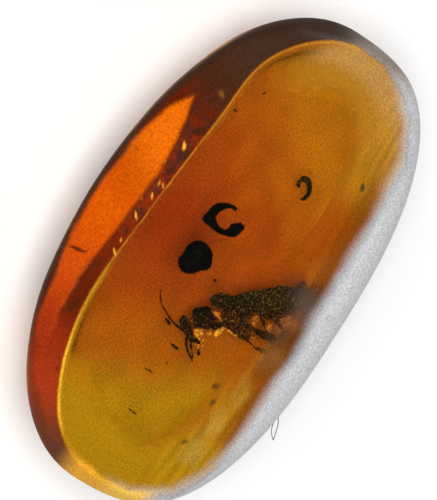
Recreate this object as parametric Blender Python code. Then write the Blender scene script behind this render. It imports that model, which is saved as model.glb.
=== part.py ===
"""A polished piece of amber: a long oval pebble with a flat polished window on top.

Frame: metres, +Z up. X runs along the stone, +Y is its bevelled side and -Y its rounded side.
It lies on its ground flat at z = 0, with the origin in the middle of its box at the bottom.
"""

import math

import bmesh
import bpy

MM = 0.001

# Widest outline (the girdle)
GIRDLE_HALF_LENGTH = 15.78 * MM
GIRDLE_HALF_WIDTH = 10.70 * MM
GIRDLE_OFFSET_Y = -0.35 * MM
GIRDLE_Z = 5.76 * MM
GIRDLE_POWER_BEVEL_SIDE = 2.05
GIRDLE_POWER_ROUND_SIDE = 2.60

# Polished window on top
HEIGHT = 8.50 * MM
WINDOW_HALF_LENGTH = 14.95 * MM
WINDOW_HALF_WIDTH = 7.75 * MM
WINDOW_OFFSET_X = 0.05 * MM
WINDOW_OFFSET_Y = 0.55 * MM
WINDOW_POWER_BEVEL_SIDE = 2.45
WINDOW_POWER_ROUND_SIDE = 2.90
WINDOW_TAPER = 0.12          # the bevelled side narrows toward +X
RIM_BULGE = 0.40 * MM        # shallow swelling of the rim on the bevelled side
RIM_BULGE_X = -6.5 * MM
RIM_BULGE_LENGTH = 4.5 * MM

# Ground flat underneath
BASE_HALF_LENGTH = 13.90 * MM
BASE_HALF_WIDTH = 7.40 * MM
BASE_OFFSET_Y = -2.20 * MM
BASE_POWER = 2.40

# Section of the side walls
LOWER_WALL_POWER = 1.15      # nearly straight undercut
BEVEL_POWER = 1.10           # nearly straight bevel up to the sharp rim
SHOULDER_POWER = 2.00        # elliptical shoulder on the rounded side
RIM_TILT = math.radians(10)  # how far the bevel is cut short of level at the rim
SHOULDER_FROM = -0.10        # where along the outline the bevel turns into the shoulder
SHOULDER_TO = 0.30

SEGMENTS = 112
LOWER_RINGS = 9
UPPER_RINGS = 12
SHARP_ANGLE = math.radians(24)

AMBER_COLOUR = (0.78, 0.30, 0.035, 1.0)
AMBER_IOR = 1.54


def smooth(x, low, high):
    t = min(max((x - low) / (high - low), 0.0), 1.0)
    return t * t * (3 - 2 * t)


def oval(angle, half_x, half_y, power):
    """A point on a superellipse."""
    c, s = math.cos(angle), math.sin(angle)
    r = (abs(c) ** power / half_x**power + abs(s) ** power / half_y**power) ** (-1 / power)
    return r * c, r * s


def girdle(angle):
    power = GIRDLE_POWER_BEVEL_SIDE if math.sin(angle) > 0 else GIRDLE_POWER_ROUND_SIDE
    x, y = oval(angle, GIRDLE_HALF_LENGTH, GIRDLE_HALF_WIDTH, power)
    return x, y + GIRDLE_OFFSET_Y


def window(angle):
    bevelled = math.sin(angle) > 0
    power = WINDOW_POWER_BEVEL_SIDE if bevelled else WINDOW_POWER_ROUND_SIDE
    x, y = oval(angle, WINDOW_HALF_LENGTH, WINDOW_HALF_WIDTH, power)
    if bevelled:
        y *= 1 - WINDOW_TAPER * x / WINDOW_HALF_LENGTH
        fade = min(1.0, y / (0.5 * WINDOW_HALF_WIDTH))
        y += fade * RIM_BULGE * math.exp(-(((x - RIM_BULGE_X) / RIM_BULGE_LENGTH) ** 2))
    return x + WINDOW_OFFSET_X, y + WINDOW_OFFSET_Y


def base(angle):
    x, y = oval(angle, BASE_HALF_LENGTH, BASE_HALF_WIDTH, BASE_POWER)
    return x, y + BASE_OFFSET_Y


def wall(angle, step, tilt, power):
    """Share of the way out (0 to 1) and up (1 to 0) along a quarter superellipse cut short at tilt."""
    theta = tilt + (math.pi / 2 - tilt) * step
    out, out0 = (abs(math.sin(t)) ** (2 / power) for t in (theta, tilt))
    up, up0 = (abs(math.cos(t)) ** (2 / power) for t in (theta, tilt))
    return (out - out0) / (1 - out0), up / up0


def mix(a, b, f):
    return a[0] + (b[0] - a[0]) * f, a[1] + (b[1] - a[1]) * f


def rings():
    """The stone's horizontal outlines from the ground flat up to the rim of the window."""
    angles = [2 * math.pi * i / SEGMENTS for i in range(SEGMENTS)]
    for k in range(LOWER_RINGS + 1):
        ring = []
        for a in angles:
            out, up = wall(a, k / LOWER_RINGS, 0.0, LOWER_WALL_POWER)
            x, y = mix(base(a), girdle(a), out)
            ring.append((x, y, GIRDLE_Z * (1 - up)))
        yield ring
    for k in range(1, UPPER_RINGS + 1):
        ring = []
        for a in angles:
            rounded = smooth(-math.sin(a), SHOULDER_FROM, SHOULDER_TO)
            tilt = RIM_TILT * (1 - rounded)
            power = BEVEL_POWER + (SHOULDER_POWER - BEVEL_POWER) * rounded
            out, up = wall(a, 1 - k / UPPER_RINGS, tilt, power)
            x, y = mix(window(a), girdle(a), out)
            ring.append((x, y, GIRDLE_Z + (HEIGHT - GIRDLE_Z) * up))
        yield ring


def amber_material():
    material = bpy.data.materials.new("amber")
    material.use_nodes = True
    shader = material.node_tree.nodes["Principled BSDF"]
    shader.inputs["Base Color"].default_value = AMBER_COLOUR
    shader.inputs["Roughness"].default_value = 0.04
    shader.inputs["Metallic"].default_value = 0.0
    shader.inputs["IOR"].default_value = AMBER_IOR
    shader.inputs["Transmission Weight"].default_value = 1.0
    return material


def amber_stone():
    bm = bmesh.new()
    loops = []
    for ring in rings():
        verts = [bm.verts.new(p) for p in ring]
        loops.append([bm.edges.new((verts[i], verts[(i + 1) % SEGMENTS])) for i in range(SEGMENTS)])
    for lower, upper in zip(loops, loops[1:]):
        bmesh.ops.bridge_loops(bm, edges=lower + upper)
    bmesh.ops.contextual_create(bm, geom=loops[0])
    bmesh.ops.contextual_create(bm, geom=loops[-1])
    bmesh.ops.recalc_face_normals(bm, faces=bm.faces)
    mesh = bpy.data.meshes.new("amber_stone")
    bm.to_mesh(mesh)
    bm.free()
    mesh.shade_smooth()
    mesh.set_sharp_from_angle(angle=SHARP_ANGLE)
    mesh.materials.append(amber_material())
    stone = bpy.data.objects.new("amber_stone", mesh)
    bpy.context.scene.collection.objects.link(stone)
    # the outlines aren't quite symmetric across Y: put the box's middle on the origin
    ys = [v.co.y for v in mesh.vertices]
    xs = [v.co.x for v in mesh.vertices]
    stone.location = (-(min(xs) + max(xs)) / 2, -(min(ys) + max(ys)) / 2, 0.0)
    return stone


for old in list(bpy.data.objects):
    bpy.data.objects.remove(old, do_unlink=True)

amber_stone()
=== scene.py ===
import math

import bmesh
import bpy
import numpy as np
from mathutils import Matrix, Vector, noise

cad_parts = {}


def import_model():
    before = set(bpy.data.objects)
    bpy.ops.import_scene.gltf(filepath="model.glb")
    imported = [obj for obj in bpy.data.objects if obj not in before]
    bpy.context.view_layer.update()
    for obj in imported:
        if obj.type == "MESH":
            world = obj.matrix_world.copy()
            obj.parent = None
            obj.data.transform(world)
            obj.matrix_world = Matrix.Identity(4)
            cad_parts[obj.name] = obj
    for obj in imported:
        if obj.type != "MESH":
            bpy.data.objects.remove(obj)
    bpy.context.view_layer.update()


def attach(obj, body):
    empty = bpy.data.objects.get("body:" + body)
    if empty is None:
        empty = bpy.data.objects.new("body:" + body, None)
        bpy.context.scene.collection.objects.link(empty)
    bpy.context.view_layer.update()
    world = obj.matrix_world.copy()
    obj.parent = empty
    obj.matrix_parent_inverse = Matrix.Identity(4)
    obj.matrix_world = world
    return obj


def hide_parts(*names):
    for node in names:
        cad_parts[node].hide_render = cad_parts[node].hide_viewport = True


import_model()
MM = 0.001

# ------------------------------------------------------------------ camera
TILT = math.radians(40.0)      # how far the view leans from straight down, from the bevelled side
ROLL = math.radians(57.63)     # direction of the stone's length in the picture
DISTANCE = 0.30
PX = 0.06 * MM                 # one picture pixel at the stone
TARGET = Vector((0.0, -0.9 * MM, 5.0 * MM))
CENTRE_X, CENTRE_Y = 220.1, 257.5


def world(t, s, z):
    return Vector((s, -t, z))


forward = world(math.sin(TILT), 0, -math.cos(TILT))
along = world(0, 1, 0)
across = world(math.cos(TILT), 0, math.sin(TILT))
right = along * math.cos(ROLL) + across * math.sin(ROLL)
up = along * math.sin(ROLL) - across * math.cos(ROLL)

cam_data = bpy.data.cameras.new("camera")
cam = bpy.data.objects.new("camera", cam_data)
bpy.context.scene.collection.objects.link(cam)
cam.matrix_world = Matrix.Translation(TARGET - forward * DISTANCE) @ Matrix((right, up, -forward)).transposed().to_4x4()
cam_data.sensor_width = 24
cam_data.lens = 24 * DISTANCE / (500 * PX)
cam_data.shift_x = -(CENTRE_X - 218.5) / 500
cam_data.shift_y = (CENTRE_Y - 250) / 500
cam_data.clip_start = 0.01
cam_data.clip_end = 10
bpy.context.scene.camera = cam

# ------------------------------------------------------------------ the stone's shape (as in the CAD)
GX, GY, GDY, GZ = 15.78, 10.70, -0.35, 5.76
GN_B, GN_R = 2.05, 2.60
H = 8.50
WX, WY, WDX, WDY = 14.95, 7.75, 0.05, 0.55
WN_B, WN_R = 2.45, 2.90
TAPER, BULGE, BULGE_X, BULGE_L = 0.12, 0.40, -6.5, 4.5
CORNER, CORNER_X, CORNER_L = 0.95, 11.2, 3.2   # the fuller upper corner of the window
BX, BY, BDY, BN = 13.90, 7.40, -2.20, 2.40
LOW_POWER, BEVEL_POWER, SHOULDER_POWER = 1.15, 1.10, 2.00
RIM_TILT = math.radians(10)
SHIFT_Y = 0.35                 # the CAD moves the stone so that its box is centred
GAP = 0.03                     # the stone rests a hair above the floor so that light reaches under it
IOR = 1.54


def oval(a, hx, hy, n):
    c, s = np.cos(a), np.sin(a)
    r = (np.abs(c) ** n / hx**n + np.abs(s) ** n / hy**n) ** (-1.0 / n)
    return r * c, r * s


def smooth(x, lo, hi):
    t = np.clip((x - lo) / (hi - lo), 0, 1)
    return t * t * (3 - 2 * t)


def outlines(a):
    bev = np.sin(a) > 0
    gx, gy = oval(a, GX, GY, np.where(bev, GN_B, GN_R))
    waist = 0.17 * np.exp(-(((gx + 8.4) / 2.6) ** 2)) - 0.10 * np.exp(-(((gx - 5) / 4) ** 2)) - 0.13 * np.exp(-(((gx - 10) / 2.2) ** 2))
    gy = gy + np.where(bev, waist, 0) * np.clip(gy / (0.4 * GY), 0, 1)
    wx, wy = oval(a, WX, WY, np.where(bev, WN_B, WN_R))
    taper = wy * (1 - TAPER * wx / WX)
    fade = np.clip(taper / (0.5 * WY), 0, 1)
    full = BULGE * np.exp(-(((wx - BULGE_X) / BULGE_L) ** 2)) + CORNER * np.exp(-(((wx - CORNER_X) / CORNER_L) ** 2))
    wy = np.where(bev, taper + fade * full, wy)
    bx, by = oval(a, BX, BY, BN)
    return (gx, gy + GDY), (wx + WDX, wy + WDY), (bx, by + BDY)


def arc(tilt, power, steps):
    """A quarter superellipse cut short at tilt: (share out, share up), from the flat's edge outwards."""
    th = tilt + (math.pi / 2 - tilt) * steps
    out, out0 = np.sin(th) ** (2 / power), np.sin(tilt) ** (2 / power)
    upw, up0 = np.abs(np.cos(th)) ** (2 / power), np.cos(tilt) ** (2 / power)
    return (out - out0) / (1 - out0), upw / up0


def round_corner(p, q, r, n):
    """Points on a curve from p to r that rounds the corner q."""
    t = np.linspace(0, 1, n)[:, None]
    return (1 - t) ** 2 * p + 2 * t * (1 - t) * q + t**2 * r


def take(path, at):
    seg = np.linalg.norm(np.diff(path, axis=0), axis=1)
    d = np.concatenate([[0], np.cumsum(seg)])
    at = np.asarray(at)
    at = np.where(at < 0, d[-1] + at, at)
    return np.stack([np.interp(at, d, path[:, i]) for i in range(3)], 1), d[-1]


def column(g, w, b, rounded, r_base, r_girdle, r_rim):
    """One upright section of the stone, from the middle of the base to the middle of the window."""
    steps = np.linspace(0, 1, 240)
    out, upw = arc(0.0, LOW_POWER, steps)
    low = np.stack([b[0] + (g[0] - b[0]) * out, b[1] + (g[1] - b[1]) * out, GZ * (1 - upw)], 1)
    tilt = RIM_TILT * (1 - rounded)
    power = BEVEL_POWER + (SHOULDER_POWER - BEVEL_POWER) * rounded
    out, upw = arc(tilt, power, steps[::-1])
    top = np.stack([w[0] + (g[0] - w[0]) * out, w[1] + (g[1] - w[1]) * out, GZ + (H - GZ) * upw], 1)
    base_c, top_c = np.array([0.0, BDY, 0.0]), np.array([WDX, WDY, H])
    base_e, rim, gird = low[0], top[-1], low[-1]
    inb = (base_c - base_e) / np.linalg.norm(base_c - base_e)
    inw = (top_c - rim) / np.linalg.norm(top_c - rim)
    pts = [base_c + (base_e - base_c) * f for f in (0.35, 0.65, 0.85)]
    pts.append(base_e + inb * (r_base + 0.06))
    lo_a, _ = take(low, [r_base])
    pts += list(round_corner(base_e + inb * r_base, base_e, lo_a[0], 9))
    _, n_low = take(low, [0])
    run, _ = take(low, np.linspace(r_base, n_low - r_girdle, 17)[1:-1])
    pts += list(run)
    lo_b, _ = take(low, [n_low - r_girdle])
    hi_a, n_top = take(top, [r_girdle])
    pts += list(round_corner(lo_b[0], gird, hi_a[0], 11))
    run, _ = take(top, np.linspace(r_girdle, n_top - r_rim, 19)[1:-1])
    pts += list(run)
    hi_b, _ = take(top, [n_top - r_rim])
    pts += list(round_corner(hi_b[0], rim, rim + inw * r_rim, 9))
    pts.append(rim + inw * (r_rim + 0.04))
    pts += [top_c + (rim - top_c) * f for f in (0.9, 0.7, 0.4)]
    return pts


def grid_mesh(name, cols, bottom, top):
    """Closes a ring of equal columns with a bottom and a top point."""
    n, m = len(cols), len(cols[0])
    verts = [tuple(p) for c in cols for p in c] + [bottom, top]
    faces = []
    for i in range(n):
        j = (i + 1) % n
        for k in range(m - 1):
            faces.append((i * m + k, j * m + k, j * m + k + 1, i * m + k + 1))
        faces.append((n * m, j * m, i * m))
        faces.append((i * m + m - 1, j * m + m - 1, n * m + 1))
    mesh = bpy.data.meshes.new(name)
    mesh.from_pydata(verts, [], faces)
    mesh.update()
    obj = bpy.data.objects.new(name, mesh)
    bpy.context.scene.collection.objects.link(obj)
    return obj


def make_stone():
    n = 384
    a = np.linspace(0, 2 * math.pi, n, endpoint=False)
    (gx, gy), (wx, wy), (bx, by) = outlines(a)
    rounded = smooth(-np.sin(a), -0.10, 0.30)
    cols = []
    for i in range(n):
        p = np.array(column((gx[i], gy[i]), (wx[i], wy[i]), (bx[i], by[i]), rounded[i], 0.7, 0.55, 0.20))
        p[:, 1] += SHIFT_Y
        cols.append(p * MM)
    return grid_mesh("amber", cols, (0, (BDY + SHIFT_Y) * MM, 0), (WDX * MM, (WDY + SHIFT_Y) * MM, H * MM))


def nodes_of(name):
    m = bpy.data.materials.new(name)
    m.use_nodes = True
    return m, m.node_tree, m.node_tree.nodes["Principled BSDF"]


def amber_material():
    m, nt, b = nodes_of("amber")
    b.inputs["Base Color"].default_value = (1, 1, 1, 1)
    b.inputs["IOR"].default_value = IOR
    b.inputs["Transmission Weight"].default_value = 1.0
    b.inputs["Roughness"].default_value = 0.0
    va = nt.nodes.new("ShaderNodeVolumeAbsorption")
    va.inputs["Color"].default_value = (0.9874, 0.950, 0.70, 1)
    va.inputs["Density"].default_value = 1000.0
    nt.links.new(va.outputs[0], nt.nodes["Material Output"].inputs["Volume"])
    return m


# ------------------------------------------------------------------ where a point inside the stone appears
camera_at = cam.matrix_world.translation.copy()


def seen(px, py, z):
    """The point at height z (mm) inside the stone that shows at picture position px, py through the window."""
    d = (forward * DISTANCE + right * ((px - CENTRE_X) * PX) - up * ((py - CENTRE_Y) * PX)).normalized()
    p = camera_at + d * ((H * MM - camera_at.z) / d.z)
    cos_i = -d.z
    ratio = 1 / IOR
    cos_t = math.sqrt(1 - ratio**2 * (1 - cos_i**2))
    inside = d * ratio + Vector((0, 0, 1)) * (ratio * cos_i - cos_t)
    return p + inside * ((z - H) * MM / inside.z)


stone = make_stone()
stone.data.materials.append(amber_material())
stone.data.shade_smooth()
stone.location.z = 0
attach(stone, "root")
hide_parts("amber_stone")


# ------------------------------------------------------------------ the stone's skin: its surface colour, with painted light and shade
def picture_place(p):
    """Where points (n, 3) in metres show in the picture, in pixels across and along the stone."""
    rel = p - np.array(camera_at)
    depth = rel @ np.array(forward)
    x = rel @ np.array(right) / depth * (DISTANCE / PX)
    y = -(rel @ np.array(up)) / depth * (DISTANCE / PX)
    return x * math.sin(ROLL) + y * math.cos(ROLL), x * math.cos(ROLL) - y * math.sin(ROLL)


def signed(poly, t, s):
    """Distance in pixels from a closed outline, positive outside it."""
    poly = np.array(poly, float)
    best = np.full(t.shape, 1e9)
    inside = np.zeros(t.shape, bool)
    for (t0, s0), (t1, s1) in zip(poly, np.roll(poly, -1, 0)):
        dt, ds = t1 - t0, s1 - s0
        k = np.clip(((t - t0) * dt + (s - s0) * ds) / (dt * dt + ds * ds), 0, 1)
        best = np.minimum(best, np.hypot(t - t0 - k * dt, s - s0 - k * ds))
        crosses = (s0 > s) != (s1 > s)
        with np.errstate(divide="ignore", invalid="ignore"):
            at = t0 + (s - s0) / ds * dt if ds else np.full(t.shape, 1e9)
        inside ^= crosses & (t < at)
    return np.where(inside, -best, best)


def wobble(p, size, seed):
    """Smooth noise, about -1 to 1, with bumps of size mm."""
    k = 1 / (size * MM)
    return np.array([noise.noise(Vector((q[0] * k + seed, q[1] * k, q[2] * k))) for q in p]) * 2


WINDOW = [
    (0, 250), (-30, 235), (-62, 190), (-75, 150), (-80, 50), (-85, 0), (-91, -50), (-94, -80), (-87, -150),
    (-66, -200), (-20, -240), (20, -251), (50, -246), (86, -224), (105, -190), (116, -150), (118, -100),
    (115, -50), (111, 0), (110, 50), (108, 130), (102, 180), (83, 216), (65, 233), (35, 248),
]
LENS = [
    (-108, 123), (-101, 93), (-97, 40), (-101, -8), (-106, -52), (-110, -93), (-108, -130), (-100, -165),
    (-112, -172), (-124, -132), (-129, -102), (-136, -76), (-142, -40), (-141, 5), (-137, 50), (-123, 100),
]


CRACKS = [
    (-126, -69.4, 12.5, 1.9, 0.224, 0.95), (-128, 47.2, 5, 0.9, -0.16, 0.55), (-110, 33, 1.5, 1.0, 0.3, 0.45),
    (-78, -182, 3.0, 1.5, 0.2, 0.8), (-118, 88, 3, 0.7, 0.9, 0.3),
]
OUTLINE = [
    (10, 264), (-55, 243), (-100, 200), (-122, 150), (-135, 100), (-143, 50), (-147, 0), (-146, -50), (-140, -100),
    (-128, -150), (-100, -200), (-55, -245), (0, -263), (60, -248), (113, -200), (130, -150), (137, -100), (139, -50),
    (140, 0), (139, 50), (135, 100), (127, 150), (110, 200), (70, 240),
]
RIM_GLINTS = [
    (-90, 75, 5.5, 1.5, 2.05, 0.95), (-86.5, 30, 5.5, 1.4, 2.35, 0.8), (-91.5, 31, 3.5, 0.9, 1.8, 0.5), (-90.5, 15.5, 4.5, 1.2, 1.95, 0.95),
    (-93.5, -9, 5, 1.2, 2.3, 0.85), (-91, -12, 2, 1.0, 1.6, 0.6), (-94, -39, 3, 1.0, 1.9, 0.5), (-92.5, -52, 5.5, 1.4, 2.45, 0.9),
    (-97, 52, 2.2, 0.8, 1.3, 0.35), (-99, 8, 1.8, 0.7, 2.6, 0.3), (-88, 140, 7, 1.3, 2.6, 0.14),
    (-60, 9, 5, 0.8, 2.2, 0.25),
]
SPECKS = [
    (82, 135.5, 4.6, 3.0, 1.9, 0.85), (70, -174, 5.0, 1.6, 0.56, 0.8), (65.5, -111, 4.6, 2.8, 0.75, 0.85),
    (72, -126, 4.0, 2.4, 1.2, 0.85),
]
BLOTS = [
    (-85, 95, 8, 6, 0.6, 0.9), (-86, 67, 7, 6, 1.4, 0.75), (-88, 46, 8, 5, 1.2, 0.8), (-94, -28, 7, 3, 1.3, 0.6),
    (-100, -70, 9, 3.5, 1.3, 0.5), (-99, -118, 12, 3, 1.35, 0.5),
]


def crust(p):
    """Colour of the unpolished lower wall."""
    big, small = wobble(p, 2.4, 71), wobble(p, 0.7, 83)
    brown = smooth(big + 0.5 * small, -0.7, 0.9)[:, None]
    pale = (smooth(small, 0.3, 1.2) * 0.35)[:, None]
    ends = smooth(np.abs(p[:, 0]) / MM, 7.5, 12)[:, None]
    rgb = np.array((0.30, 0.125, 0.032)) * (1 - brown) + np.array((0.13, 0.042, 0.012)) * brown
    rgb = rgb * (1 - ends) + (np.array((0.40, 0.19, 0.05)) * (1 - brown) + np.array((0.22, 0.085, 0.022)) * brown) * ends
    return rgb * (1 - pale) + np.array((0.46, 0.28, 0.11)) * pale


def skin_paint(p, out_rim):
    """Colour and cover of the skin at each point: the stone's surface colour over clear amber, with painted
    reflections, highlights, glints, caustic light and shade laid in.
    """
    t, s = picture_place(p)
    big, small, fine = wobble(p, 2.6, 3), wobble(p, 0.9, 11), wobble(p, 0.33, 29)
    t = t + 0.9 * big + 0.7 * small
    s = s + 0.8 * small
    flank = smooth(-t, -20, 25)
    out = signed(WINDOW, t, s) * (1 - flank) + out_rim * flank
    lens = signed(LENS, t, s)
    lens_edge = t + 92
    combed = np.array([noise.noise(Vector((u / 5.5, v / 34, 7.3))) for u, v in zip(t, s)]) * 2
    rgb = np.zeros((len(p), 3))
    cover = np.zeros(len(p))

    def lay(mask, colour):
        nonlocal rgb, cover
        mask = np.clip(mask, 0, 1)
        rgb = rgb * (1 - mask)[:, None] + np.array(colour) * mask[:, None]
        cover = cover * (1 - mask) + mask

    # nothing is clear below the girdle
    depth = GZ - p[:, 2] / MM
    lay(smooth(depth, -0.1, 0.6), (0.15, 0.055, 0.018))
    # dark brown over the bevel, thin over the lens
    bevel = smooth(out, 0.5, 3.0) * smooth(-t, -10, 30)
    lay(bevel * smooth(lens, -1.5, 3.5) * 0.95, (0.084, 0.009, 0.0014))
    # painted shade: a dark red stripe on the bevel next to the rim
    dark_stripe_shade = bevel * smooth(lens, 0, 4) * smooth(t + 112, 0, 8) * smooth(120 - s, 0, 30) * smooth(s + 95, 0, 30)
    lay(dark_stripe_shade * (0.75 + 0.2 * small) * np.exp(-(((s - 30) / 80) ** 2)), (0.22, 0.020, 0.003))
    # painted reflection: the orange lens, lit floor that the bevel reflects inside, fading to red towards the lower end
    inside = bevel * smooth(-lens, -3, 4)
    lay(inside * (0.74 + 0.22 * smooth(-s, -35, 20)), (0.470, 0.064, 0.0008))
    lay(inside * smooth(s + 0.8 * (t + 115), 0, 75) * 0.75, (0.600, 0.114, 0.002))
    lay(inside * smooth(-s, 15, 85) * 0.75, (0.36, 0.040, 0.002))
    lay(inside * smooth(-s, 80, 140) * 0.8, (0.22, 0.019, 0.0025))
    # the painted lens reflection continues in red down the lower bevel, darker at the very end
    low = bevel * smooth(-s, 112, 170) * smooth(-t, 45, 85)
    lay(low * 0.9, (0.23, 0.019, 0.003))
    lay(bevel * smooth(-s, 165, 200) * smooth(-t, 20, 60) * 0.9, (0.28, 0.027, 0.004))
    lay(bevel * smooth(-s, 205, 242) * 0.8, (0.125, 0.030, 0.008))
    # dark brown at the upper end, under a painted grey reflection that is lighter at the tip
    lay(bevel * smooth(s + 0.3 * (t + 110), 112, 150) * 0.95, (0.044, 0.0135, 0.005))
    lay(bevel * smooth(s + 0.3 * (t + 110), 150, 195) * 0.8, (0.039, 0.018, 0.009))
    top = smooth(out, -2, 6) * smooth(s, 228, 250) * smooth(-t, -75, -20)
    lay(top * 0.9, (0.075, 0.056, 0.046))
    lay(smooth(out, -3, 6) * smooth(s, 222, 246) * smooth(t, -30, 22) * 0.95, (0.30, 0.24, 0.20))
    for t0, s0, length, wide, turn, strong in BLOTS:
        ct, st = math.cos(turn), math.sin(turn)
        u = ((t - t0) * ct + (s - s0) * st) / length
        v = (-(t - t0) * st + (s - s0) * ct) / wide
        lay(bevel * smooth(1.1 - u**2 - v**2 + 0.5 * small, 0, 0.8) * strong, (0.026, 0.011, 0.003))
    # painted light over the window's margin: the lit amber's colour, laid over the shade that falls on the base under
    # the margin
    near = (1 - smooth(out, 0, 3)) * (1 - smooth(out_rim, 20, 32))
    side = smooth(t, 55, 85)
    far = smooth(np.abs(s), 70, 150)
    by_insect = smooth(80 - np.abs(s + 16), 0, 46)
    # painted light: the lit amber's colour over the shaded margin on the right
    lit_margin_paint = smooth(out, -66 + 4 * big, -33) * smooth(t, 25, 60) * near * 0.86 * (1 - by_insect * (1 - 0.35 * smooth(out, -22, -12)))
    lay(lit_margin_paint, (0.262, 0.047, 0.002))
    lay(lit_margin_paint * (1 - smooth(out, -40, -22)), (0.31, 0.062, 0.003))
    lay(lit_margin_paint * smooth(np.abs(s - 10), 75, 135), (0.345, 0.145, 0.005))
    # painted shade: a dark brown line inside the margin on the right, beside the caustic streak
    lay(smooth(out, -25 + 3 * big, -11) * side * near * (1 - smooth(np.abs(s), 135, 185)) * (0.85 - 0.62 * by_insect), (0.19, 0.052, 0.004))
    # painted caustic: a light yellow streak in the margin at the lower right
    caustic_streak = smooth(out, -40 + 3 * big, -31) * smooth(-18.5 + 3 * small - out, 0, 8) * side * smooth(-s, 65, 130)
    lay(caustic_streak * (0.8 + 0.5 * small), (0.36, 0.20, 0.024))
    # painted light: the lit amber's colour over the margin at the lower end, along the left rim and at the upper end
    # and upper right; a painted caustic patch ends the streak
    lay(smooth(out, -58 + 4 * big, -34) * smooth(-s, 150, 182) * smooth(t, -90, -60) * near * 0.92, (0.352, 0.178, 0.004))
    lay(smooth(out, -58 + 4 * big, -34) * smooth(-s, 150, 175) * (1 - smooth(-s, 175, 205)) * smooth(-t, 5, 45) * near * 0.75, (0.375, 0.130, 0.003))
    lay(smooth(out, -9, -2.5) * smooth(-s, 40, 90) * smooth(-t, 0, 30) * near * 0.85, (0.38, 0.165, 0.005))
    lay(np.exp(-(((t - 83 + 2 * small) / 9) ** 4) - ((s + 180) / 13) ** 4) * near * 0.75, (0.365, 0.222, 0.028))
    lay(smooth(out, -62 + 4 * big, -33) * smooth(s, 145, 190) * smooth(t, -60, -5) * near * 0.85, (0.385, 0.160, 0.009))
    lay(smooth(out, -32 + 4 * small, -12) * smooth(s, 185, 222) * smooth(t, -45, -5) * near * 0.85, (0.44, 0.235, 0.070))
    lay(smooth(out, -17, -2) * smooth(s, 110, 170) * smooth(t, 40, 80) * near * 0.7, (0.35, 0.19, 0.06))
    lay(smooth(out, -10, -4) * smooth(s, 70, 130) * smooth(-t, -10, 40) * near * 0.7, (0.34, 0.10, 0.006))
    # painted shade: the dark outline along the bevel's foot; dark blotches between the lens and the rim
    foot = signed(OUTLINE, t, s)
    lay(smooth(foot, -8.5, -2.5) * smooth(-t, -20, 30) * 0.88 * (1 - 0.65 * smooth(-s, 145, 185)), (0.030, 0.013, 0.006))
    blotch = np.clip(0.5 + 0.9 * small + 0.7 * fine, 0, 1) * bevel * smooth(lens, 0, 3) * smooth(t + 116, 0, 6)
    lay(blotch * smooth(s + 60, 0, 40) * (1 - smooth(s, 105, 135)) * 0.75, (0.045, 0.012, 0.006))
    # painted light: a milky tan brightening reaching in over the window at the upper right
    milky_light_paint = smooth(out, -52 + 10 * big, -12) * smooth(s - 0.2 * t, 85, 175) * smooth(t + 0.35 * s, 40, 95)
    lay(milky_light_paint * near * 0.30 * (1 + 0.3 * small), (0.40, 0.20, 0.03))
    rgb = rgb * (1 + 0.17 * combed * smooth(out, -60, -36) * (1 - smooth(out, -8, 0)) * near * smooth(t, 30, 70) * far)[:, None]
    # the insect's hind end, blurred by the margin
    hind = np.exp(-(((t - 93) / 15) ** 2) - ((s - 13) / 11) ** 2)
    lay(hind * near * 0.8, (0.050, 0.038, 0.025))
    lay(np.exp(-(((t - 101) / 13) ** 2) - ((s - 4) / 15) ** 2) * near * 0.85, (0.085, 0.062, 0.045))
    # painted light: orange smudges of the lit amber's colour over dark spots beside the hind end
    lay(np.exp(-(((t - 91) / 10) ** 2) - ((s - 42) / 17) ** 2) * near * 0.7, (0.265, 0.070, 0.008))
    lay(np.exp(-(((t - 91) / 9) ** 2) - ((s + 70) / 12) ** 2) * near * 0.6, (0.25, 0.083, 0.008))
    lay(np.exp(-(((t - 93) / 11) ** 2) - ((s + 33) / 8) ** 2) * near * 0.35, (0.12, 0.070, 0.040))
    lay(np.exp(-(((t - 97) / 9) ** 2) - ((s + 17) / 8) ** 2) * near * 0.7, (0.24, 0.088, 0.032))
    lay(np.exp(-(((t - 99) / 13) ** 4) - ((s + 55) / 15) ** 2) * near * 0.8, (0.215, 0.085, 0.020))
    for t0, s0, length, wide, turn, strong in SPECKS:
        ct, st = math.cos(turn), math.sin(turn)
        u = ((t - t0) * ct + (s - s0) * st) / length
        v = (-(t - t0) * st + (s - s0) * ct) / wide
        lay(smooth(1.2 - u**2 - v**2 + 0.4 * fine, 0, 0.5) * strong, (0.035, 0.020, 0.010))
    # pale grey band along the side
    lay(smooth(out, -12, 0) * smooth(-s, 120, 170) * smooth(t, 40, 80) * near * 0.5, (0.37, 0.24, 0.07))
    sharp = smooth(-s, 30, 100) * (1 - smooth(-s, 150, 185))
    edge = np.maximum(smooth(out, -10 - 2 * sharp + 3 * big, 11 - 7 * sharp), smooth(out_rim, 14, 30))
    around = smooth(t - 0.10 * s, 12, 62) * smooth(t, 8, 60)
    lay(edge * around * 0.97, (0.56, 0.565, 0.575))
    # painted highlight: bright orange-peach at the lower end
    lay(smooth(out, -4, 3) * smooth(-s, 215, 238) * smooth(80 - t, 0, 30) * smooth(t, -35, -5) * 0.95, (0.80, 0.37, 0.024))
    lay(smooth(out, -4, 3) * smooth(-s, 215, 238) * smooth(80 - t, 0, 30) * smooth(t, 10, 45) * 0.9, (0.80, 0.50, 0.085))
    # painted highlight along the rim, brighter and yellower along the lower left
    lower_rim_highlight = smooth(-s, 110, 165)
    rim = np.exp(-(((out_rim + 0.5 * small) / (0.8 + 0.6 * lower_rim_highlight)) ** 2)) * smooth(-t, -35, 5)
    lay(rim * (0.6 + 0.3 * smooth(-s, 40, 110) + 0.15 * lower_rim_highlight) * (0.75 + 0.35 * small) * (1 - smooth(-s, 215, 240)), (0.66, 0.29, 0.022))
    lay(rim * lower_rim_highlight * 0.85 * (1 - smooth(-s, 215, 240)), (0.80, 0.46, 0.026))
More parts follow.
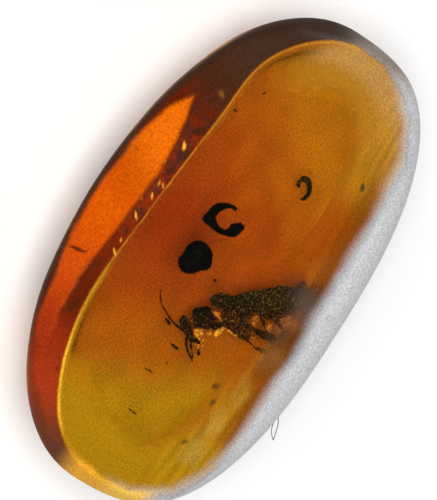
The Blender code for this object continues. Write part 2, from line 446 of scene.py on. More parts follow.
    # painted glints: small bright marks along the rim and the bevel
    for t0, s0, length, wide, turn, strong in RIM_GLINTS:
        ct, st = math.cos(turn), math.sin(turn)
        u = ((t - t0) * ct + (s - s0) * st) / length
        v = (-(t - t0) * st + (s - s0) * ct + 0.8 * small) / (wide * np.clip(1 - 0.45 * u, 0.4, 1.6))
        lay(smooth(1.2 - u**2 - v**2 + 0.5 * fine, 0, 0.7) * strong, (0.66, 0.27, 0.022))
    for t0, s0, length, wide, turn, strong in CRACKS:
        ct, st = math.cos(turn), math.sin(turn)
        u = (t - t0) * ct + (s - s0) * st
        v = -(t - t0) * st + (s - s0) * ct + 0.5 * small
        lay(np.exp(-((u / length) ** 4) - (v / (wide * np.clip(1.25 - np.abs(u) / length, 0.3, 1))) ** 4) * strong, (0.025, 0.006, 0.003))
    # below the girdle the unpolished crust takes over
    pale_side = smooth(p[:, 1] / -MM, -3, 4)
    lay(smooth(depth + (0.35 + 0.15 * pale_side) * big + 0.2 * small, 0.9, 1.6 + 0.1 * pale_side) * 0.98, crust(p))
    cover = np.clip(cover, 0, 1)
    return rgb, cover


def make_skin():
    n = 512
    a = np.linspace(0, 2 * math.pi, n, endpoint=False)
    (gx, gy), (wx, wy), (bx, by) = outlines(a)
    rounded = smooth(-np.sin(a), -0.10, 0.30)
    cols = []
    for i in range(n):
        p = np.array(column((gx[i], gy[i]), (wx[i], wy[i]), (bx[i], by[i]), rounded[i], 0.7, 0.55, 0.20))
        path, total = take(p, [0])
        seg = np.linalg.norm(np.diff(p, axis=0), axis=1)
        d = np.concatenate([[0], np.cumsum(seg)])
        lo, gir, rim = d[21], d[34], d[-5]
        at = np.concatenate([np.linspace(lo, gir, 14)[:-1], np.linspace(gir, rim, 46)[:-1], rim + np.linspace(0, 5.2, 36)])
        q, _ = take(p, at)
        q[:, 1] += SHIFT_Y
        cols.append(q)
    cols = np.array(cols)
    along_ring = np.roll(cols, -1, 0) - np.roll(cols, 1, 0)
    up_col = np.gradient(cols, axis=1)
    nrm = np.cross(along_ring, up_col)
    nrm /= np.linalg.norm(nrm, axis=2, keepdims=True)
    cols = (cols + nrm * 0.012) * MM
    m = cols.shape[1]
    pts = cols.reshape(-1, 3)
    dist = np.linalg.norm(cols - cols[:, [58]], axis=2) / PX
    dist[:, 58:] *= -1
    rgb, cover = skin_paint(pts, dist.reshape(-1))
    index = np.arange(n * m).reshape(n, m)
    nxt = np.roll(index, -1, 0)
    quads = np.stack([index[:, :-1], nxt[:, :-1], nxt[:, 1:], index[:, 1:]], -1).reshape(-1, 4)
    shown = cover[quads].max(1) > 0.01
    over_window = (np.arange(m - 1) >= 58)[None, :].repeat(n, 0).reshape(-1)
    made = []
    for name, keep in (("skin", shown & ~over_window), ("veil", shown & over_window)):
        used, inverse = np.unique(quads[keep], return_inverse=True)
        mesh = bpy.data.meshes.new(name)
        mesh.from_pydata(pts[used].tolist(), [], inverse.reshape(-1, 4).tolist())
        col = mesh.color_attributes.new("skin", "FLOAT_COLOR", "POINT")
        col.data.foreach_set("color", np.concatenate([rgb[used] / np.maximum(cover[used], 1e-4)[:, None], cover[used][:, None]], 1).ravel())
        mesh.update()
        mesh.shade_smooth()
        obj = bpy.data.objects.new(name, mesh)
        bpy.context.scene.collection.objects.link(obj)
        made.append(obj)
    return made


def base_paint(x, y, p):
    """Colour of the dull underside, which the window looks down on."""
    big, small = wobble(p, 5.0, 41), wobble(p, 1.6, 57)
    t, s = -12.77 * y - 24 + 5 * small, x / 0.06 + 5 * small     # where it shows in the picture
    rgb = np.zeros((len(p), 3))
    rgb[:] = (0.86, 0.28, 0.10)

    def lay(mask, colour):
        nonlocal rgb
        mask = np.clip(mask, 0, 1)
        rgb = rgb * (1 - mask)[:, None] + np.array(colour) * mask[:, None]

    up_end, low_end = s + 0.8 * t + 12 * big, -s + 0.5 * t + 8 * big
    lay(smooth(up_end, 50, 110), (0.97, 0.46, 0.17))
    lay(smooth(up_end, 115, 185), (1.0, 0.66, 0.26))
    lay(smooth(low_end, 35, 100), (0.90, 0.44, 0.16))
    lay(smooth(low_end, 104, 178), (0.95, 0.93, 0.42))
    lay(np.exp(-(((t + 62) / 42) ** 2) - ((s - 5) / 62) ** 2) * 0.95, (0.70, 0.125, 0.05))
    rgb *= (1 + 0.06 * big + 0.06 * small)[:, None]
    return rgb


def make_base_skin():
    """The unpolished underside, with the ends of the lower wall."""
    n = 256
    a = np.linspace(0, 2 * math.pi, n, endpoint=False)
    (gx, gy), (wx, wy), (bx, by) = outlines(a)
    rounded = smooth(-np.sin(a), -0.10, 0.30)
    cols = []
    for i in range(n):
        p = np.array(column((gx[i], gy[i]), (wx[i], wy[i]), (bx[i], by[i]), rounded[i], 0.7, 0.55, 0.20))
        seg = np.linalg.norm(np.diff(p, axis=0), axis=1)
        d = np.concatenate([[0], np.cumsum(seg)])
        rim = p[4]
        centre = np.array([0, BDY, 0])
        flat = [centre + (rim - centre) * f for f in np.linspace(0.0005, 1, 40)[:-1]]
        q, _ = take(p, np.linspace(d[4], d[21] + 0.08, 16))
        q = np.concatenate([np.array(flat), q])
        q[:, 1] += SHIFT_Y
        cols.append(q)
    cols = np.array(cols)
    nrm = np.cross(np.roll(cols, -1, 0) - np.roll(cols, 1, 0), np.gradient(cols, axis=1))
    nrm /= np.maximum(np.linalg.norm(nrm, axis=2, keepdims=True), 1e-12)
    lift = np.where(np.arange(cols.shape[1]) > 44, 0.006, 0.012)
    cols = (cols + nrm * lift[None, :, None]) * MM
    m = cols.shape[1]
    pts = cols.reshape(-1, 3)
    x, y, z = pts[:, 0] / MM, pts[:, 1] / MM, pts[:, 2] / MM
    rgb = base_paint(x, y, pts)
    up_wall = smooth(z, -0.005, 0.12)[:, None]
    rgb = rgb * (1 - up_wall) + crust(pts) * up_wall
    cover = np.ones(len(pts))
    index = np.arange(n * m).reshape(n, m)
    nxt = np.roll(index, -1, 0)
    quads = np.stack([index[:, :-1], nxt[:, :-1], nxt[:, 1:], index[:, 1:]], -1).reshape(-1, 4)
    quads = quads[cover[quads].max(1) > 0.01]
    used, inverse = np.unique(quads, return_inverse=True)
    mesh = bpy.data.meshes.new("base_skin")
    mesh.from_pydata(pts[used].tolist(), [], inverse.reshape(-1, 4).tolist())
    col = mesh.color_attributes.new("skin", "FLOAT_COLOR", "POINT")
    col.data.foreach_set("color", np.concatenate([rgb[used], cover[used][:, None]], 1).ravel())
    mesh.update()
    mesh.shade_smooth()
    obj = bpy.data.objects.new("base_skin", mesh)
    bpy.context.scene.collection.objects.link(obj)
    return obj


def skin_material(name):
    m, nt, b = nodes_of(name)
    b.inputs["Roughness"].default_value = 0.5
    b.inputs["Specular IOR Level"].default_value = 0.009
    att = nt.nodes.new("ShaderNodeAttribute")
    att.attribute_name = "skin"
    tc = nt.nodes.new("ShaderNodeTexCoord")
    no = nt.nodes.new("ShaderNodeTexNoise")
    no.inputs["Scale"].default_value = 8000
    no.inputs["Detail"].default_value = 2
    nt.links.new(tc.outputs["Object"], no.inputs["Vector"])
    mr = nt.nodes.new("ShaderNodeMapRange")
    mr.inputs["From Min"].default_value, mr.inputs["From Max"].default_value = 0.25, 0.75
    mr.inputs["To Min"].default_value, mr.inputs["To Max"].default_value = 0.66, 1.34
    nt.links.new(no.outputs["Fac"], mr.inputs["Value"])
    mul = nt.nodes.new("ShaderNodeVectorMath")
    mul.operation = "SCALE"
    nt.links.new(att.outputs["Color"], mul.inputs[0])
    nt.links.new(mr.outputs[0], mul.inputs["Scale"])
    nt.links.new(mul.outputs[0], b.inputs["Base Color"])
    nt.links.new(att.outputs["Alpha"], b.inputs["Alpha"])
    return m


skin, veil = make_skin()
skin.data.materials.append(skin_material("skin"))
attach(skin, "root")
veil.data.materials.append(skin_material("veil"))
veil.data.materials[0].node_tree.nodes["Principled BSDF"].inputs["Specular IOR Level"].default_value = 0.004
veil.visible_transmission = False   # light still reaches what lies under the thin margin
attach(veil, "root")
base_skin = make_base_skin()
base_skin.data.materials.append(skin.data.materials[0])
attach(base_skin, "root")


# ------------------------------------------------------------------ what is sealed in the stone
DEEP = 2.2      # height of the insect above the base, mm
SHALLOW = 5.6   # height of the black grains


def grain_material(name, dark, light, rough, scale, bump, spots=None, gloss=0.3):
    """Dark, finely speckled matter."""
    m, nt, b = nodes_of(name)
    b.inputs["Roughness"].default_value = rough
    b.inputs["Specular IOR Level"].default_value = gloss
    tc = nt.nodes.new("ShaderNodeTexCoord")
    no = nt.nodes.new("ShaderNodeTexNoise")
    no.inputs["Scale"].default_value = scale
    no.inputs["Detail"].default_value = 5
    no.inputs["Roughness"].default_value = 0.7
    nt.links.new(tc.outputs["Object"], no.inputs["Vector"])
    ramp = nt.nodes.new("ShaderNodeValToRGB")
    ramp.color_ramp.elements[0].position, ramp.color_ramp.elements[1].position = 0.44, 0.56
    ramp.color_ramp.elements[0].color, ramp.color_ramp.elements[1].color = (*dark, 1), (*light, 1)
    if spots:
        e = ramp.color_ramp.elements.new(0.62)
        e.color = (*spots, 1)
    nt.links.new(no.outputs["Fac"], ramp.inputs["Fac"])
    nt.links.new(ramp.outputs["Color"], b.inputs["Base Color"])
    bm = nt.nodes.new("ShaderNodeBump")
    bm.inputs["Strength"].default_value = bump
    bm.inputs["Distance"].default_value = 0.00005
    nt.links.new(no.outputs["Fac"], bm.inputs["Height"])
    nt.links.new(bm.outputs[0], b.inputs["Normal"])
    return m


black = grain_material("black_grain", (0.0, 0.0, 0.0), (0.002, 0.0015, 0.001), 0.3, 3500, 0.4, None, 0.06)
chitin = grain_material("chitin", (0.002, 0.002, 0.002), (0.05, 0.034, 0.02), 0.45, 7500, 0.9, (0.60, 0.45, 0.30), 0.2)
warm_chitin = grain_material("warm_chitin", (0.010, 0.006, 0.005), (0.20, 0.095, 0.050), 0.45, 6500, 0.9, (0.95, 0.58, 0.32), 0.2)
dark_chitin = grain_material("dark_chitin", (0.001, 0.001, 0.001), (0.020, 0.012, 0.006), 0.45, 9500, 0.8, (0.25, 0.17, 0.09), 0.15)
brown = grain_material("brown_chitin", (0.012, 0.005, 0.002), (0.12, 0.05, 0.018), 0.45, 4200, 0.8, None, 0.2)
leg = grain_material("leg_chitin", (0.016, 0.008, 0.004), (0.20, 0.10, 0.045), 0.45, 5600, 0.9, (0.70, 0.45, 0.25), 0.2)
membrane = grain_material("membrane", (0.005, 0.005, 0.007), (0.085, 0.074, 0.085), 0.4, 6800, 0.9, (0.80, 0.72, 0.80), 0.2)


# painted glints: these flakes glow to stand in for light that air films reflect
def glint_material(name, dark, light, glow):
    m, nt, b = nodes_of(name)
    b.inputs["Emission Strength"].default_value = glow
    tc = nt.nodes.new("ShaderNodeTexCoord")
    no = nt.nodes.new("ShaderNodeTexNoise")
    no.inputs["Scale"].default_value = 6500
    no.inputs["Detail"].default_value = 4
    nt.links.new(tc.outputs["Object"], no.inputs["Vector"])
    ramp = nt.nodes.new("ShaderNodeValToRGB")
    ramp.color_ramp.elements[0].position, ramp.color_ramp.elements[1].position = 0.42, 0.60
    ramp.color_ramp.elements[0].color, ramp.color_ramp.elements[1].color = (*dark, 1), (*light, 1)
    nt.links.new(no.outputs["Fac"], ramp.inputs["Fac"])
    nt.links.new(ramp.outputs["Color"], b.inputs["Base Color"])
    nt.links.new(ramp.outputs["Color"], b.inputs["Emission Color"])
    mr = nt.nodes.new("ShaderNodeMapRange")
    mr.inputs["To Min"].default_value, mr.inputs["To Max"].default_value = 0.25, 0.55
    nt.links.new(no.outputs["Fac"], mr.inputs["Value"])
    nt.links.new(mr.outputs[0], b.inputs["Roughness"])
    return m


glint = glint_material("glowing_film_glint", (0.30, 0.045, 0.008), (1.0, 0.66, 0.18), 0.75)
mid_glint = glint_material("glowing_film_glint_warm", (0.22, 0.045, 0.010), (0.90, 0.42, 0.11), 0.5)
dull_glint = glint_material("glowing_film_glint_dull", (0.16, 0.03, 0.008), (0.80, 0.30, 0.07), 0.25)


def ball(bm, centre, radii, turn=0.0):
    """An ellipsoid added to bm, in mm. radii are along the picture's x, y and the height."""
    made = bmesh.ops.create_icosphere(bm, subdivisions=2, radius=1.0)
    ca, sa = math.cos(turn), math.sin(turn)
    lean = 1 / math.cos(TILT)   # lying flat, a round shape has to be this much longer across to look round
    ex = Vector((math.cos(ROLL), -math.sin(ROLL) * lean, 0))
    ey = Vector((-math.sin(ROLL), -math.cos(ROLL) * lean, 0))
    c = Vector(centre)
    for v in made["verts"]:
        x, y, z = v.co.x * radii[0], v.co.y * radii[1], v.co.z * radii[2]
        x, y = x * ca - y * sa, x * sa + y * ca
        v.co = c + ex * x + ey * y + Vector((0, 0, z))


def at_mm(px, py, z):
    return seen(px, py, z) / MM


def chain(bm, points, flat=1.0):
    """Tapered limb through points (px, py, z, radius in pixels)."""
    for (x0, y0, z0, r0), (x1, y1, z1, r1) in zip(points, points[1:]):
        a, c = at_mm(x0, y0, z0), at_mm(x1, y1, z1)
        ra, rc = r0 * 0.06, r1 * 0.06
        steps = max(2, int((c - a).length / (0.45 * max(0.02, min(ra, rc)))))
        steps = min(steps, 40)
        for i in range(steps + 1):
            k = i / steps
            r = ra + (rc - ra) * k
            ball(bm, a + (c - a) * k, (r, r, r * flat))


def finish_lump(name, bm, mat, voxel, rough_mm=0.0, rough_size=0.3, smooth_times=2):
    """Joins overlapping shapes into one skin, roughens it and gives it a material."""
    mesh = bpy.data.meshes.new(name)
    bm.to_mesh(mesh)
    bm.free()
    obj = bpy.data.objects.new(name, mesh)
    bpy.context.scene.collection.objects.link(obj)
    re = obj.modifiers.new("join", "REMESH")
    re.mode = "VOXEL"
    re.voxel_size = voxel
    re.use_smooth_shade = True
    if smooth_times:
        sm = obj.modifiers.new("smooth", "SMOOTH")
        sm.iterations = smooth_times
        sm.factor = 0.5
    dg = bpy.context.evaluated_depsgraph_get()
    new = bpy.data.meshes.new_from_object(obj.evaluated_get(dg))
    obj.modifiers.clear()
    obj.data = new
    new.name = name
    if rough_mm:
        new.update()
        normals = [v.normal.copy() for v in new.vertices]
        for v, nv in zip(new.vertices, normals):
            k = noise.noise(v.co / rough_size) + 0.5 * noise.noise(v.co / rough_size * 2.3 + Vector((7, 1, 3)))
            v.co += nv * k * rough_mm
    new.transform(Matrix.Scale(MM, 4))
    new.shade_smooth()
    new.materials.clear()
    new.materials.append(mat)
    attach(obj, "root")
    return obj


def from_outline(name, outline, z, thick, mat, step=0.8, rough=0.15, lift=None, ragged=0.0):
    """A flake or lump whose outline in the picture is given in pixels, thick in pixels."""
    outline = np.array(outline, float)
    lo, hi = outline.min(0) - 1, outline.max(0) + 1
    nx, ny = int((hi[0] - lo[0]) / step) + 2, int((hi[1] - lo[1]) / step) + 2
    gx, gy = np.meshgrid(lo[0] + np.arange(nx) * step, lo[1] + np.arange(ny) * step, indexing="ij")
    d = signed(outline, gx.ravel(), gy.ravel()).reshape(nx, ny)
    if ragged:
        for i in range(nx):
            for j in range(ny):
                q = Vector((gx[i, j], gy[i, j], 0))
                d[i, j] += ragged * (noise.noise(q * 0.55) + 0.7 * noise.noise(q * 1.3))
    inside = d < 0.35 * step
    cells = inside[:-1, :-1] & inside[1:, :-1] & inside[:-1, 1:] & inside[1:, 1:]
    verts, faces, top_id, bot_id = [], [], {}, {}

    def vert(i, j, side):
        edge = not (0 < i < nx - 1 and 0 < j < ny - 1 and cells[i - 1 : i + 1, j - 1 : j + 1].all())
        store = top_id if (side > 0 or edge) else bot_id
        key = (i, j)
        if edge and key in top_id:
            return top_id[key]
        if key in store:
            return store[key]
        dist = max(0.0, -d[i, j])
        h = 0.0 if edge else thick * math.sqrt(max(0.0, 1 - (1 - min(1, dist / thick)) ** 2))
        wob = noise.noise(Vector((gx[i, j] * 0.35, gy[i, j] * 0.35, side * 3.1))) * rough * thick
        zz = z + (lift(gx[i, j], gy[i, j]) if lift else 0.0)
        p = seen(gx[i, j], gy[i, j], zz) + Vector((0, 0, side * (h + (0 if edge else wob)) * 0.06 * MM))
        verts.append(p)
        store[key] = len(verts) - 1
        return store[key]

    for i in range(nx - 1):
        for j in range(ny - 1):
            if cells[i, j]:
                t4 = [vert(i, j, 1), vert(i + 1, j, 1), vert(i + 1, j + 1, 1), vert(i, j + 1, 1)]
                b4 = [vert(i, j, -1), vert(i, j + 1, -1), vert(i + 1, j + 1, -1), vert(i + 1, j, -1)]
                faces += [t4, b4]
    mesh = bpy.data.meshes.new(name)
    mesh.from_pydata(verts, [], faces)
    bm = bmesh.new()
    bm.from_mesh(mesh)
    flat = [f for f in bm.faces if len(set(f.verts)) < 3]
    bmesh.ops.delete(bm, geom=flat, context="FACES")
    seen_keys, twins = set(), []
    for f in bm.faces:
        key = tuple(sorted(v.index for v in f.verts))
        if key in seen_keys:
            twins.append(f)
        seen_keys.add(key)
    bmesh.ops.delete(bm, geom=twins, context="FACES")
    bmesh.ops.smooth_vert(bm, verts=bm.verts, factor=0.4, use_axis_x=True, use_axis_y=True, use_axis_z=True)
    bmesh.ops.recalc_face_normals(bm, faces=bm.faces)
    bm.to_mesh(mesh)
    bm.free()
    mesh.shade_smooth()
    mesh.materials.append(mat)
    obj = bpy.data.objects.new(name, mesh)
    bpy.context.scene.collection.objects.link(obj)
    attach(obj, "root")
    return obj


# black grains: the hooked one, the round one and the small curl
from_outline("grain_hook", [
    (201.5, 219.5), (204, 215), (208, 211), (212, 206), (217, 203), (223, 202), (229, 203), (234, 205), (237.5, 207),
    (236.5, 211.5), (233.5, 211), (231, 208.5), (226, 209), (221, 211.5), (217.5, 214), (216, 218), (217.5, 223),
    (221, 227.5), (226, 229.5), (229.5, 227), (231, 223.5), (236, 222.5), (241, 222), (244.5, 225), (244.5, 229),
    (240.5, 233), (236.5, 236.5), (231, 237.5), (225, 236), (218.5, 234), (212.5, 230), (208, 226), (204.5, 223.5),
], SHALLOW, 6.0, black, 0.7, 0.25)
from_outline("grain_round", [
    (178, 262), (179.5, 257), (183.5, 253.5), (186, 248), (190, 243.5), (195, 240.5), (200, 239.5), (206, 242),
    (210.5, 247.5), (213, 254), (212, 260), (210.5, 267), (206, 270.5), (200, 271), (194, 273.5), (187, 274.5),
    (181.5, 272), (178.5, 267.5),
], SHALLOW, 14.0, black, 0.9, 0.10)
from_outline("grain_curl", [
    (296, 185.5), (297, 181), (299.5, 178.5), (301, 176), (305, 175.5), (309, 177), (311.5, 181), (312.5, 187),
    (311.5, 192.5), (309, 197), (305.5, 200.5), (302, 201), (299.5, 199), (302.5, 197), (305.5, 194), (307, 190),
    (306.5, 186), (305, 182.5), (302, 182), (300.5, 184.5), (300.5, 188), (297.5, 188.5),
], DEEP, 3.0, chitin, 0.6, 0.3)

# the insect, head to the lower left
bm = bmesh.new()
Z = DEEP + 0.2
ball(bm, at_mm(202.5, 316, Z), (0.64, 0.56, 0.55), 0.1)          # head
ball(bm, at_mm(206, 309.5, Z), (0.32, 0.18, 0.35), -0.2)
ball(bm, at_mm(205, 324, Z - 0.1), (0.68, 0.30, 0.40), 0.15)
ball(bm, at_mm(196, 321, Z + 0.05), (0.30, 0.46, 0.35), 0.3)
ball(bm, at_mm(215, 326, Z - 0.1), (0.44, 0.24, 0.30), 0.1)
finish_lump("head", bm, chitin, 0.035, 0.05, 0.22)
bm = bmesh.new()
ball(bm, at_mm(196.5, 312, Z + 0.35), (0.24, 0.28, 0.22), 0.2)
ball(bm, at_mm(206, 311, Z + 0.38), (0.26, 0.26, 0.22), 0.2)
finish_lump("eyes", bm, dark_chitin, 0.025, 0.02, 0.1)
bm = bmesh.new()
chain(bm, [(183.5, 318, Z, 3.2), (186, 325, Z, 4.2), (188.5, 332, Z, 4.2), (191, 338, Z - 0.05, 3.2)])
chain(bm, [(190, 338, Z, 2.6), (194, 341, Z, 1.8), (197, 340, Z, 1.6)])
chain(bm, [(180.5, 321, Z, 1.6), (183, 326, Z, 2.2), (186, 331, Z, 2.4)])
finish_lump("face", bm, chitin, 0.035, 0.05, 0.2)
bm = bmesh.new()
chain(bm, [(186.3, 338, Z, 1.1), (186, 344, Z, 1.3), (187.3, 350, Z, 1.0), (189.5, 355, Z, 1.2), (192.2, 361, Z - 0.1, 0.9)])
chain(bm, [(190.5, 341, Z, 1.0), (191, 347, Z, 1.3), (192, 352, Z, 0.9), (193, 358, Z - 0.1, 0.8)])
chain(bm, [(199, 341, Z, 0.9), (199.6, 346, Z, 1.0), (198.8, 350, Z, 1.3), (198.6, 353.5, Z - 0.05, 2.0)])
chain(bm, [(192, 340, Z, 1.4), (196, 342, Z, 1.3), (199.5, 344, Z, 1.0)])
finish_lump("mouthparts", bm, chitin, 0.03, 0.015, 0.15)
bm = bmesh.new()
chain(bm, [
    (161.5, 289, Z + 0.5, 0.5), (160.3, 294, Z + 0.5, 0.6), (160.3, 299, Z + 0.45, 0.8), (161.8, 304, Z + 0.4, 0.7),
    (164, 308.5, Z + 0.35, 0.9), (167, 313, Z + 0.3, 0.8), (169.3, 317, Z + 0.25, 1.0), (172.5, 321.5, Z + 0.2, 0.9),
    (176.5, 325.5, Z + 0.15, 1.1), (181, 329, Z + 0.1, 1.2), (185.5, 332.5, Z, 1.3),
])
for px, py, r in ((160.3, 299, 1.1), (164, 308.5, 1.25), (169.3, 317, 1.3), (176.5, 325.5, 1.5)):
    ball(bm, at_mm(px, py, Z + 0.3), (r * 0.06, r * 0.06, r * 0.06))
chain(bm, [(165.8, 318.5, Z + 0.2, 1.0), (167.8, 321, Z + 0.2, 1.7), (169.3, 323.5, Z + 0.2, 1.5)])
finish_lump("antenna", bm, brown, 0.022, 0.01, 0.1, 1)
bm = bmesh.new()
chain(bm, [(214, 302, Z + 0.1, 4.0), (221, 301.5, Z + 0.2, 7.0), (232, 303, Z + 0.25, 7.0), (245, 302.5, Z + 0.25, 8.5),
           (258, 302, Z + 0.2, 10.5), (271, 301, Z + 0.15, 11.5), (284, 300, Z + 0.1, 11.5), (296, 299.5, Z + 0.1, 9.5),
           (307, 301, Z + 0.25, 7.0), (317, 302.5, Z + 0.35, 4.0)], 0.75)
finish_lump("thorax_abdomen", bm, chitin, 0.05, 0.09, 0.35)
bm = bmesh.new()
chain(bm, [(226, 318, Z - 0.2, 4.0), (233, 321, Z - 0.2, 7.5), (240, 325, Z - 0.25, 8.5), (244, 331, Z - 0.3, 7.5),
           (245.5, 337, Z - 0.35, 4.0)], 0.8)
chain(bm, [(224, 311, Z - 0.1, 3.0), (236, 313, Z - 0.1, 4.0), (248, 315, Z - 0.1, 4.5)], 0.7)
chain(bm, [(262, 312, Z - 0.2, 5.0), (272, 314, Z - 0.2, 6.5), (284, 312, Z - 0.3, 5.5), (296, 310, Z - 0.3, 5.0)], 0.6)
chain(bm, [(222, 322, Z - 0.2, 3.0), (230, 328, Z - 0.25, 3.0), (238, 335, Z - 0.3, 2.5), (244, 340, Z - 0.35, 1.2)], 0.8)
finish_lump("underside", bm, warm_chitin, 0.045, 0.07, 0.25)
# folded wings over the back, with the upturned tip at the far end
from_outline("wings", [
    (208, 300.5), (210.5, 297), (215, 294), (221, 292), (228, 294), (234, 295), (240, 294), (248, 291), (256, 289.5),
    (264, 288), (272, 286), (281, 285), (290, 286.5), (296, 288), (299, 283), (301.5, 279), (304, 277),
    (306.5, 281), (308, 287), (312, 292), (318, 294), (324, 298), (322, 304), (312, 308), (300, 311), (288, 314),
    (276, 316), (264, 315), (252, 314), (240, 312.5), (230, 311.5), (222, 309.5), (215, 306),
], Z + 0.75, 2.4, membrane, 0.9, 0.9, lambda x, y: 0.12 * math.sin(x * 0.19 + y * 0.1) - 0.004 * (x - 250), 2.2)
bm = bmesh.new()
chain(bm, [(249, 325, Z - 0.3, 1.6), (254, 330, Z - 0.3, 2.2), (259, 333, Z - 0.35, 3.4), (265, 335.5, Z - 0.4, 4.4),
           (272, 338, Z - 0.45, 4.6), (280, 341, Z - 0.5, 4.2), (288, 342, Z - 0.6, 3.0)], 0.8)
chain(bm, [(262, 314, Z - 0.1, 2.6), (262, 320, Z - 0.25, 2.0), (265, 327, Z - 0.3, 1.2), (268, 334, Z - 0.35, 1.2)])
chain(bm, [(258, 348.5, Z - 0.4, 1.6), (262, 351, Z - 0.4, 2.8), (266, 352.5, Z - 0.4, 1.8)])
chain(bm, [(273, 338, Z - 0.45, 1.6), (271, 345, Z - 0.45, 1.3), (267, 351, Z - 0.4, 1.4)])
chain(bm, [(277, 341, Z - 0.45, 2.0), (279, 347, Z - 0.5, 1.6), (276, 353, Z - 0.5, 1.2)])
chain(bm, [(270, 312, Z - 0.2, 4.0), (275, 319, Z - 0.3, 3.6), (281, 326, Z - 0.4, 2.2), (287, 333, Z - 0.5, 1.6)], 0.8)
chain(bm, [(243, 338, Z - 0.35, 1.4), (250, 343, Z - 0.4, 1.2), (256, 349, Z - 0.45, 1.0), (262, 352, Z - 0.4, 1.0)])
chain(bm, [(222, 321, Z - 0.3, 1.6), (217, 318, Z - 0.2, 1.2), (211, 321, Z - 0.2, 1.2)])
finish_lump("legs", bm, leg, 0.035, 0.03, 0.2)

# films of trapped air beside the insect; their brightness is a painted glint, made by glowing
GLINT_FILMS = [
    ([(193.5, 330), (197, 329), (200, 327.5), (203, 330), (204, 334), (201.5, 337), (199, 340.5), (196.5, 337), (194, 334.5)], 0.75),
    ([(201, 341), (204, 337.5), (205.5, 341), (204, 346), (202, 347.5)], 0.6),
    ([(205, 333), (209, 331), (212, 331.5), (211.5, 335.5), (207, 336)], 0.45),
    ([(212.5, 333), (217, 329.5), (222, 327), (224.5, 329), (221, 333.5), (218, 337), (215, 338.5)], 0.55),
    ([(220.5, 326.5), (226, 328), (230.5, 330.5), (234, 333.5), (238.5, 338), (236.5, 337.5), (231, 333.5), (225, 330)], 0.6),
    ([(213, 311.5), (216, 311), (220.5, 312.5), (220.8, 317), (221, 322), (219.5, 322.5), (218, 318.5), (214.5, 316)], 0.5),
    ([(192, 317), (193.2, 320), (193, 325), (194, 329.5), (192.4, 328), (191.2, 322)], 0.5),
    ([(251, 319), (255, 315.5), (258, 314.5), (258.5, 319), (257, 325), (253.5, 327.5), (251.5, 324)], 0.1),
    ([(264.5, 325.5), (268.5, 322.5), (272, 325), (272.5, 330), (270, 333), (266.5, 330.5)], 0.1),
    ([(250.5, 334.5), (255, 334.5), (259, 338), (256, 340.5), (252, 338)], 0.05),
    ([(196, 344), (199, 343.5), (201, 347), (200.5, 351.5), (198.5, 349), (197, 347)], 0.3),
    ([(279, 319), (284, 316.5), (290, 319), (291, 326), (286, 331), (281, 326)], 0.1),
]
for i, (shape, high) in enumerate(GLINT_FILMS):
    from_outline("film_%02d" % i, shape, Z + high, 1.0, mid_glint if i in (5, 7, 8) else dull_glint if i in (9, 11) else glint, 0.45, 1.6,
                 lambda x, y: 0.10 * math.sin(x * 0.9 + y * 0.7), 1.7)

# a fine hair left on the pale edge
hair = bpy.data.curves.new("hair", "CURVE")
hair.dimensions = "3D"
hair.bevel_depth = 0.000026
hair.bevel_resolution = 2
for strand in ([(278.2, 417), (278.6, 423), (276.5, 430), (274.5, 437), (273.2, 440)], [(273.8, 422.5), (272, 426), (271.4, 432), (272, 437), (273.2, 440)]):
    sp = hair.splines.new("NURBS")
    sp.points.add(len(strand) - 1)
    for pt, (px, py) in zip(sp.points, strand):
        d = (forward * DISTANCE + right * ((px - CENTRE_X) * PX) - up * ((py - CENTRE_Y) * PX)).normalized()
        q = camera_at + d * (((7.15 - 0.03 * max(0, py - 418)) * MM - camera_at.z) / d.z)
        pt.co = (*q, 1)
    sp.use_endpoint_u = True
    sp.order_u = 3
hair_obj = bpy.data.objects.new("hair", hair)
bpy.context.scene.collection.objects.link(hair_obj)
hair.materials.append(grain_material("hair", (0.07, 0.065, 0.065), (0.16, 0.15, 0.145), 0.5, 9000, 0.1))
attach(hair_obj, "root")

# loose flakes and dust
FLAKES = [
    ([(169, 341.5), (172, 343), (176, 345.5), (180, 349), (178, 350.5), (174, 349), (171, 345.5)], 2.6),
    ([(260.5, 92.5), (263.5, 92.5), (266.5, 90.5), (266, 93), (264, 94.8), (262, 94.5)], 3.0),
    ([(232.5, 109.5), (235, 108.5), (238, 110.5), (236.5, 112), (234, 111.5)], 2.6),
    ([(142.5, 366), (147, 368.5), (152, 371), (154.5, 373.8), (151, 373), (146, 370)], 2.2),
    ([(127.5, 407), (131.5, 409.5), (136.5, 413), (137.5, 415.5), (134, 414), (130, 411)], 2.2),
    ([(95.5, 374.5), (97.5, 373.8), (98.2, 375.8), (96.3, 376.4)], 2.0),
    ([(213, 278.5), (216, 279), (217.5, 282.5), (215, 283.5), (213.2, 281)], 2.6),
    ([(166, 362), (168, 361.5), (168.5, 363.8), (166.8, 364.5)], 2.2),
]
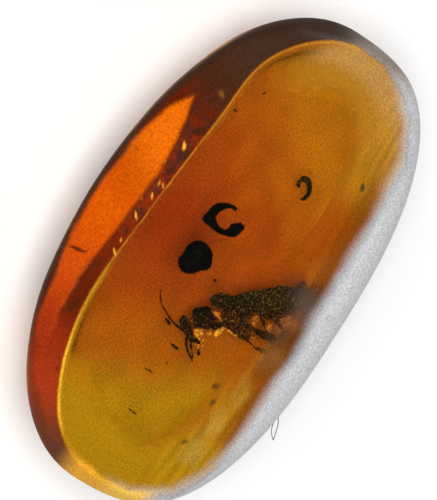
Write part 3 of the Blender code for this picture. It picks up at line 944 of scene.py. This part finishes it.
for i, (shape, z) in enumerate(FLAKES):
    from_outline("flake_%02d" % i, shape, z, 1.3, brown if i in (4, 6) else chitin, 0.45, 0.4, None, 0.8)

# ------------------------------------------------------------------ floor and light
mesh = bpy.data.meshes.new("floor")
mesh.from_pydata([(-1, -1, 0), (1, -1, 0), (1, 1, 0), (-1, 1, 0)], [], [(0, 1, 2, 3)])
floor = bpy.data.objects.new("floor", mesh)
bpy.context.scene.collection.objects.link(floor)
floor.location.z = -GAP * MM
m, nt, b = nodes_of("floor")
b.inputs["Base Color"].default_value = (0.93, 0.93, 0.93, 1)
b.inputs["Roughness"].default_value = 0.9
mesh.materials.append(m)


def area(name, t, s, z, width, height, radiance):
    """A soft box at (t, s, z), facing the stone. radiance is what a mirror of it would show."""
    light = bpy.data.lights.new(name, "AREA")
    light.shape = "RECTANGLE"
    light.size, light.size_y = width, height
    light.energy = radiance * width * height * math.pi
    o = bpy.data.objects.new(name, light)
    bpy.context.scene.collection.objects.link(o)
    o.location = world(t, s, z)
    aim = world(0, 0, 0.004) - o.location
    o.rotation_euler = aim.to_track_quat("-Z", "X").to_euler()
    return o


def gloss_only(o):
    """The light shows in reflections and casts nothing itself."""
    o.visible_diffuse = False
    o.visible_transmission = False


def fill_only(o):
    """The light brightens matt surfaces and shows in no reflection."""
    o.visible_glossy = False
    o.visible_transmission = False


area("top_box", -0.31, 0.0, 0.50, 0.26, 0.50, 8.2)
gloss_only(area("side_box", 0.40, 0.0, 0.17, 0.34, 0.8, 1.0))
fill_only(area("fill_left", -0.60, 0.0, 0.30, 0.5, 0.7, 3.0))
fill_only(area("fill_right", 0.55, 0.0, 0.38, 0.5, 0.7, 1.8))

w = bpy.data.worlds.new("room")
bpy.context.scene.world = w
w.use_nodes = True
w.node_tree.nodes["Background"].inputs[0].default_value = (0.07, 0.07, 0.07, 1)

sc = bpy.context.scene
sc.view_settings.view_transform = "Standard"
sc.cycles.max_bounces = 24
sc.cycles.transmission_bounces = 20
sc.cycles.glossy_bounces = 12
sc.cycles.diffuse_bounces = 6
sc.cycles.transparent_max_bounces = 16
sc.cycles.blur_glossy = 0.3
